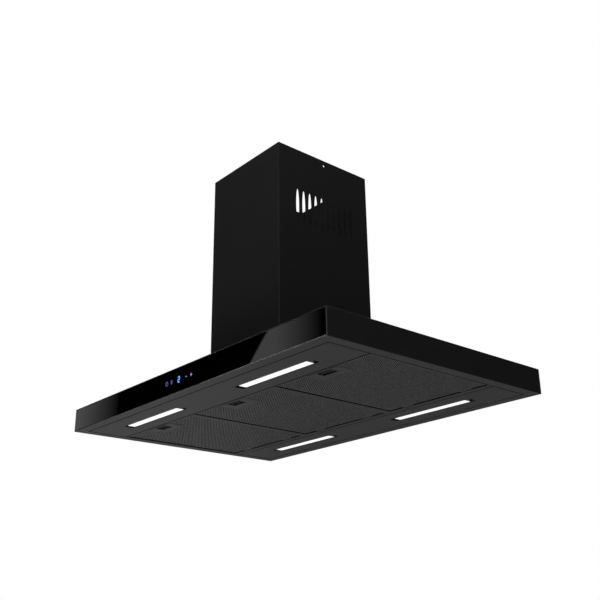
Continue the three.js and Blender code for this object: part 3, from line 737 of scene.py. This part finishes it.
def expanded_tray():
    """The middle tray's outer surface, without thickness."""
    flat_x = tray_half_width - fold
    flat_front = tray_front + fold
    flat_rear = tray_rear - fold
    middle_y = (flat_front + flat_rear) / 2
    half_y = (flat_rear - flat_front) / 2
    columns = 2 * round(flat_x / diamond_length_wanted)
    rows = 2 * round((flat_rear - flat_front) / (2 * diamond_width_wanted))
    diamond_length = 2 * flat_x / columns
    diamond_width = (flat_rear - flat_front) / rows

    # A chequered sheet turned by an eighth of a turn and stretched makes diamonds; what lies beyond the
    # flat of the tray is cut away.
    tray = bmesh.new()
    cells = columns + rows
    grid = bmesh.ops.create_grid(tray, x_segments=cells, y_segments=cells, size=cells / 2)["verts"]
    bmesh.ops.rotate(tray, verts=grid, cent=(0, 0, 0), matrix=Matrix.Rotation(pi / 4, 3, "Z"))
    bmesh.ops.scale(tray, verts=grid, vec=(diamond_length / sqrt(2), diamond_width / sqrt(2), 1))
    bmesh.ops.translate(tray, verts=grid, vec=(0, middle_y, tray_bottom))
    for spot, normal in (
        ((flat_x, 0, 0), (1, 0, 0)),
        ((-flat_x, 0, 0), (-1, 0, 0)),
        ((0, flat_front, 0), (0, -1, 0)),
        ((0, flat_rear, 0), (0, 1, 0)),
    ):
        bmesh.ops.bisect_plane(
            tray,
            geom=tray.verts[:] + tray.edges[:] + tray.faces[:],
            dist=hair,
            plane_co=spot,
            plane_no=normal,
            clear_outer=True,
        )

    # Every whole diamond is opened, but for a plain patch round the latch with a gap for a finger.
    whole_diamond = diamond_length * diamond_width / 2
    holes = []
    patch = []
    for face in tray.faces:
        centre = face.calc_center_median()
        if abs(centre.x) < patch_half_width and centre.y < patch_rear:
            patch.append(face)
        elif (
            face.calc_area() > 0.98 * whole_diamond
            and abs(centre.x) < flat_x - plain_margin
            and flat_front + plain_margin < centre.y < flat_rear - plain_margin
        ):
            holes.append(face)
    bmesh.ops.inset_individual(tray, faces=holes, thickness=strand / 2, use_even_offset=True)
    bmesh.ops.delete(tray, geom=holes, context="FACES_ONLY")
    bmesh.ops.dissolve_faces(tray, faces=patch)
    for spot, normal in (
        ((finger_x, 0, 0), (1, 0, 0)),
        ((-finger_x, 0, 0), (-1, 0, 0)),
        ((0, finger_front, 0), (0, -1, 0)),
        ((0, finger_rear, 0), (0, 1, 0)),
    ):
        inside = [
            face for face in tray.faces
            if abs(face.calc_center_median().x) < patch_half_width
            and face.calc_center_median().y < patch_rear
            and face.calc_area() > more_than_a_strand
        ]
        geometry = set(inside)
        for face in inside:
            geometry.update(face.edges)
            geometry.update(face.verts)
        bmesh.ops.bisect_plane(tray, geom=list(geometry), plane_co=spot, plane_no=normal)
    opening = [
        face for face in tray.faces
        if abs(face.calc_center_bounds().x) < finger_x
        and finger_front < face.calc_center_bounds().y < finger_rear
        and face.calc_area() > more_than_a_strand
    ]
    bmesh.ops.delete(tray, geom=opening, context="FACES")

    # The walls: the outer edge is drawn out and up round the fold, then straight up.
    outer = [
        edge for edge in tray.edges
        if len(edge.link_faces) == 1
        and all(
            abs(vert.co.x) > flat_x - hair
            or vert.co.y < flat_front + hair
            or vert.co.y > flat_rear - hair
            for vert in edge.verts
        )
    ]
    steps = 4
    turns = [radians(90) * i / steps for i in range(steps + 1)]
    levels = [(fold * sin(turn), fold * (1 - cos(turn))) for turn in turns]
    levels += [(fold, bolt_slot_bottom), (fold, bolt_slot_top), (fold, tray_top - tray_bottom)]
    for (reach, height), (next_reach, next_height) in zip(levels, levels[1:]):
        drawn = bmesh.ops.extrude_edge_only(tray, edges=outer)["geom"]
        # The walls take the second material, the painted shade of the slit edges.
        for face in [part for part in drawn if isinstance(part, bmesh.types.BMFace)]:
            face.material_index = 1
        outer = [part for part in drawn if isinstance(part, bmesh.types.BMEdge)]
        for vert in [part for part in drawn if isinstance(part, bmesh.types.BMVert)]:
            outwards_x = abs(vert.co.x) > flat_x + reach - hair
            outwards_y = abs(vert.co.y - middle_y) > half_y + reach - hair
            if outwards_x:
                vert.co.x += (next_reach - reach) * (1 if vert.co.x > 0 else -1)
            if outwards_y:
                vert.co.y += (next_reach - reach) * (1 if vert.co.y > middle_y else -1)
            vert.co.z += next_height - height

    # The slot that the latch's bolt passes through.
    slot_faces = [
        face for face in tray.faces
        if face.calc_center_median().y < tray_front + 0.1 * mm
        and abs(face.calc_center_median().x) < bolt_half_width
        and bolt_slot_bottom < face.calc_center_median().z - tray_bottom < bolt_slot_top
    ]
    bmesh.ops.delete(tray, geom=slot_faces, context="FACES")

    # The plate under the latch, one step lower than the stretched sheet, open in its middle.
    plate = bmesh.ops.create_grid(tray, x_segments=3, y_segments=3, size=0.5)["verts"]
    columns_x = [-patch_half_width, -finger_x, finger_x, patch_half_width]
    rows_y = [tray_front + plate_setback, finger_front, finger_rear, patch_rear]
    for vert in plate:
        column = round((vert.co.x + 0.5) * 3)
        row = round((vert.co.y + 0.5) * 3)
        vert.co = (columns_x[column], rows_y[row], tray_bottom - patch_drop)
    plate_faces = {face for vert in plate for face in vert.link_faces}
    for face in plate_faces:
        face.material_index = 2
    middle = [
        face for face in plate_faces
        if abs(face.calc_center_median().x) < finger_x
        and finger_front < face.calc_center_median().y < finger_rear
    ]
    bmesh.ops.delete(tray, geom=middle, context="FACES_ONLY")

    # Two tongues that hook over the frame at the back.
    tongue_y = tray_rear + (tongue_length - fold) / 2
    for x in (-tongue_x, tongue_x):
        tongue = bmesh.ops.create_grid(tray, x_segments=1, y_segments=1, size=0.5)["verts"]
        bmesh.ops.scale(tray, verts=tongue, vec=(tongue_width, tongue_length + fold, 1))
        bmesh.ops.translate(tray, verts=tongue, vec=(x, tongue_y, tray_bottom))

    # The walls face outwards and everything flat faces down, so that the sheet thickens inwards.
    bmesh.ops.recalc_face_normals(tray, faces=tray.faces)
    floor_face = max(tray.faces, key=lambda face: face.calc_area())
    if floor_face.normal.z > 0:
        bmesh.ops.reverse_faces(tray, faces=tray.faces)
    tray.normal_update()
    for face in tray.faces:
        if face.normal.z > 0.5:
            face.normal_flip()
    return tray


one_tray = expanded_tray()
for side in ("left", "middle", "right"):
    low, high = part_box(f"filter_tray_{side}")
    tray = one_tray.copy()
    bmesh.ops.translate(tray, verts=tray.verts, vec=((low.x + high.x) / 2, 0, 0))
    piece = show(
        tray,
        f"expanded_tray_{side}",
        f"filter_{side}",
        filter_metal,
        [f"filter_tray_{side}"],
        weighted=False,
    )
    thickness = piece.modifiers.new("sheet thickness", "SOLIDIFY")
    thickness.thickness = sheet
    thickness.offset = -1
    thickness.use_even_offset = True
    # The rims of the holes and the walls take the painted shade of the slit edges.
    piece.data.materials.append(slit_edge_shade)
    piece.data.materials.append(plate_metal)
    thickness.material_offset_rim = 1
    rounded(f"filter_mesh_{side}", f"filter_{side}", mesh_metal, 0.4 * mm)
one_tray.free()

# ------------------------------------------------------------------ filter latches
# A moulded cup that closes the finger opening from above, a sprung bolt with a bar to pull it by, and
# the spring behind it.

# Glass-filled nylon: nearly black, with a faint mottle.
black_nylon, shader = new_material("black glass-filled nylon", Roughness=0.5)
place = add(black_nylon, "ShaderNodeTexCoord").outputs["Object"]
mottle = add(
    black_nylon,
    "ShaderNodeTexNoise",
    inputs={"Vector": place, "Scale": grains(2 * mm), "Detail": 3.0},
)
tint = add(
    black_nylon,
    "ShaderNodeMix",
    {"data_type": "RGBA"},
    {"Factor": mottle.outputs["Fac"], "A": srgb("#121213"), "B": srgb("#1d1d1e")},
)
black_nylon.node_tree.links.new(tint.outputs["Result"], shader.inputs["Base Color"])
for side in ("left", "middle", "right"):
    rounded(f"latch_cup_{side}", f"filter_{side}", black_nylon, 0.3 * mm, 1)
    rounded(f"latch_slider_{side}", f"latch_{side}", black_nylon, 0.5 * mm, 2)
    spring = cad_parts[f"latch_spring_{side}"]
    for slot in spring.material_slots:
        slot.material = bright_steel
    for face in spring.data.polygons:
        face.use_smooth = True

# ------------------------------------------------------------------ studio
# A pale floor well below the hood, a soft sky overhead, a few soft lights, and two dim panels that
# only the glass mirrors. Seen straight, the surroundings are white.
floor_radius = 7.0
floor_height = -1.65
floor_shape = bmesh.new()
bmesh.ops.create_circle(floor_shape, cap_ends=True, segments=64, radius=floor_radius)
bmesh.ops.translate(floor_shape, verts=floor_shape.verts, vec=(0, 0, floor_height))
floor_mesh = bpy.data.meshes.new("floor")
floor_shape.to_mesh(floor_mesh)
floor_shape.free()
floor_paint, shader = new_material("pale floor", Roughness=0.9)
place = add(floor_paint, "ShaderNodeTexCoord").outputs["Object"]
cloud = add(floor_paint, "ShaderNodeTexNoise", inputs={"Vector": place, "Scale": grains(900 * mm)})
tint = add(
    floor_paint,
    "ShaderNodeMix",
    {"data_type": "RGBA"},
    {"Factor": cloud.outputs["Fac"], "A": srgb("#e6e6e6"), "B": srgb("#eaeaea")},
)
floor_paint.node_tree.links.new(tint.outputs["Result"], shader.inputs["Base Color"])
# Seen straight, the floor is as bright as the surroundings; it throws no light of its own on the hood.
floor_paint.node_tree.links.new(tint.outputs["Result"], shader.inputs["Emission Color"])
seen = add(floor_paint, "ShaderNodeLightPath").outputs["Is Camera Ray"]
add(
    floor_paint,
    "ShaderNodeMapRange",
    inputs={"Value": seen, "To Min": 0.0, "To Max": 0.6},
    feeds=shader.inputs["Emission Strength"],
)
floor_mesh.materials.append(floor_paint)
floor = bpy.data.objects.new("floor", floor_mesh)
bpy.context.scene.collection.objects.link(floor)

# The panels stand in a plane in front of the glass. Each is a sheet whose glow fades along X.
panel_y = -2.5
panel_bottom = 1.0
panel_top = 1.45


def mirror_panel(name, corners, bright_x, dark_x, strength):
    """A glowing sheet in the plane of the panels, seen only by surfaces that mirror it."""
    shape = bmesh.new()
    turn = Matrix.Rotation(pi / 2, 4, "X")
    verts = bmesh.ops.create_grid(shape, x_segments=1, y_segments=1, size=0.5, matrix=turn)["verts"]
    for vert, (x, z) in zip(sorted(verts, key=lambda vert: (vert.co.z, vert.co.x)), corners):
        vert.co = (x, panel_y, z)
    mesh = bpy.data.meshes.new(name)
    shape.to_mesh(mesh)
    shape.free()
    glow = bpy.data.materials.new(name)
    glow.use_nodes = True
    glow.node_tree.nodes.clear()
    place = add(glow, "ShaderNodeTexCoord").outputs["Object"]
    along = add(glow, "ShaderNodeSeparateXYZ", inputs={"Vector": place}).outputs["X"]
    fade = add(
        glow,
        "ShaderNodeMapRange",
        inputs={"Value": along, "From Min": dark_x, "From Max": bright_x, "To Min": 0.0, "To Max": strength},
    )
    light = add(glow, "ShaderNodeEmission", inputs={"Strength": fade.outputs["Result"]})
    add(glow, "ShaderNodeOutputMaterial", inputs={"Surface": light.outputs["Emission"]})
    mesh.materials.append(glow)
    panel = bpy.data.objects.new(name, mesh)
    bpy.context.scene.collection.objects.link(panel)
    panel.visible_camera = False
    panel.visible_diffuse = False
    panel.visible_shadow = False


mirror_panel(
    "right reflected panel",
    [(-2.792, panel_bottom), (-1.90, panel_bottom), (-2.323, panel_top), (-1.90, panel_top)],
    bright_x=-2.40,
    dark_x=-1.985,
    strength=0.67,
)
mirror_panel(
    "left reflected panel",
    [(-5.6, panel_bottom), (-4.28, panel_bottom), (-5.6, panel_top), (-4.28, panel_top)],
    bright_x=-4.95,
    dark_x=-4.25,
    strength=0.58,
)


def soft_light(name, stand, aim, width, height, power, only_mirrored=False, mirrored=True):
    """A rectangular soft light that stands at one point and faces another.

    One that is only mirrored shows in smooth surfaces and lights nothing; one that isn't mirrored
    lights the hood without showing in it.
    """
    data = bpy.data.lights.new(name, "AREA")
    data.shape = "RECTANGLE"
    data.size = width
    data.size_y = height
    data.energy = power
    light = bpy.data.objects.new(name, data)
    bpy.context.scene.collection.objects.link(light)
    facing = (Vector(aim) - Vector(stand)).to_track_quat("-Z", "Y").to_matrix().to_4x4()
    light.matrix_world = Matrix.Translation(stand) @ facing
    light.visible_camera = False
    light.visible_diffuse = not only_mirrored
    light.visible_glossy = mirrored


soft_light("low left light", (-1.2, -1.5, -1.2), (0.1, -0.3, 0.0), 1.2, 0.5, 15, mirrored=False)
soft_light("high rear light", (-1.7, 0.9, 1.5), (0.0, 0.0, 0.1), 1.2, 0.8, 18)
soft_light("upper front light", (1.9, -2.3, 1.0), (0.2, -0.2, 0.3), 0.45, 0.9, 6)
soft_light("left sheen", (-3.8, 1.6, -0.9), (0.0, -0.2, 0.0), 2.0, 1.0, 1.3, only_mirrored=True)
soft_light("edge light", (1.85, -2.25, 1.75), (0.12, -0.14, 0.3), 0.5, 1.3, 24, only_mirrored=True)
soft_light("fold light", (-1.25, -0.95, -1.25), (0.1, -0.3, 0.0), 0.9, 0.6, 12, only_mirrored=True)

# The sky lights the hood from high overhead only, but the camera sees it white all round.
world = bpy.data.worlds.new("studio")
bpy.context.scene.world = world
world.use_nodes = True
background = world.node_tree.nodes["Background"]
path = add(world, "ShaderNodeLightPath")
place = add(world, "ShaderNodeTexCoord").outputs["Generated"]
height = add(world, "ShaderNodeSeparateXYZ", inputs={"Vector": place}).outputs["Z"]
overhead = add(
    world,
    "ShaderNodeMapRange",
    inputs={"Value": height, "From Min": 0.55, "From Max": 0.75, "To Min": 0.0, "To Max": 0.45},
)
shade = add(
    world,
    "ShaderNodeMix",
    {"data_type": "FLOAT"},
    {"Factor": path.outputs["Is Camera Ray"], "A": overhead.outputs["Result"], "B": 1.0},
)
world.node_tree.links.new(shade.outputs["Result"], background.inputs["Strength"])
background.inputs["Color"].default_value = srgb("#ffffff")

# ------------------------------------------------------------------ camera
# It stands to the right of the glass front and below the canopy, looking up at the underside.
scene = bpy.context.scene
scene.view_settings.view_transform = "Standard"
camera_data = bpy.data.cameras.new("camera")
camera_data.lens = 52.87
camera_data.sensor_width = 36
camera = bpy.data.objects.new("camera", camera_data)
scene.collection.objects.link(camera)
stand = Vector((1.4726, -1.2379, -0.4790))
aim = Vector((0.0, 0.0282, 0.2808))
roll = radians(-0.72)
level = (aim - stand).to_track_quat("-Z", "Y").to_matrix().to_4x4()
camera.matrix_world = Matrix.Translation(stand) @ level @ Matrix.Rotation(roll, 4, "Z")
scene.camera = camera
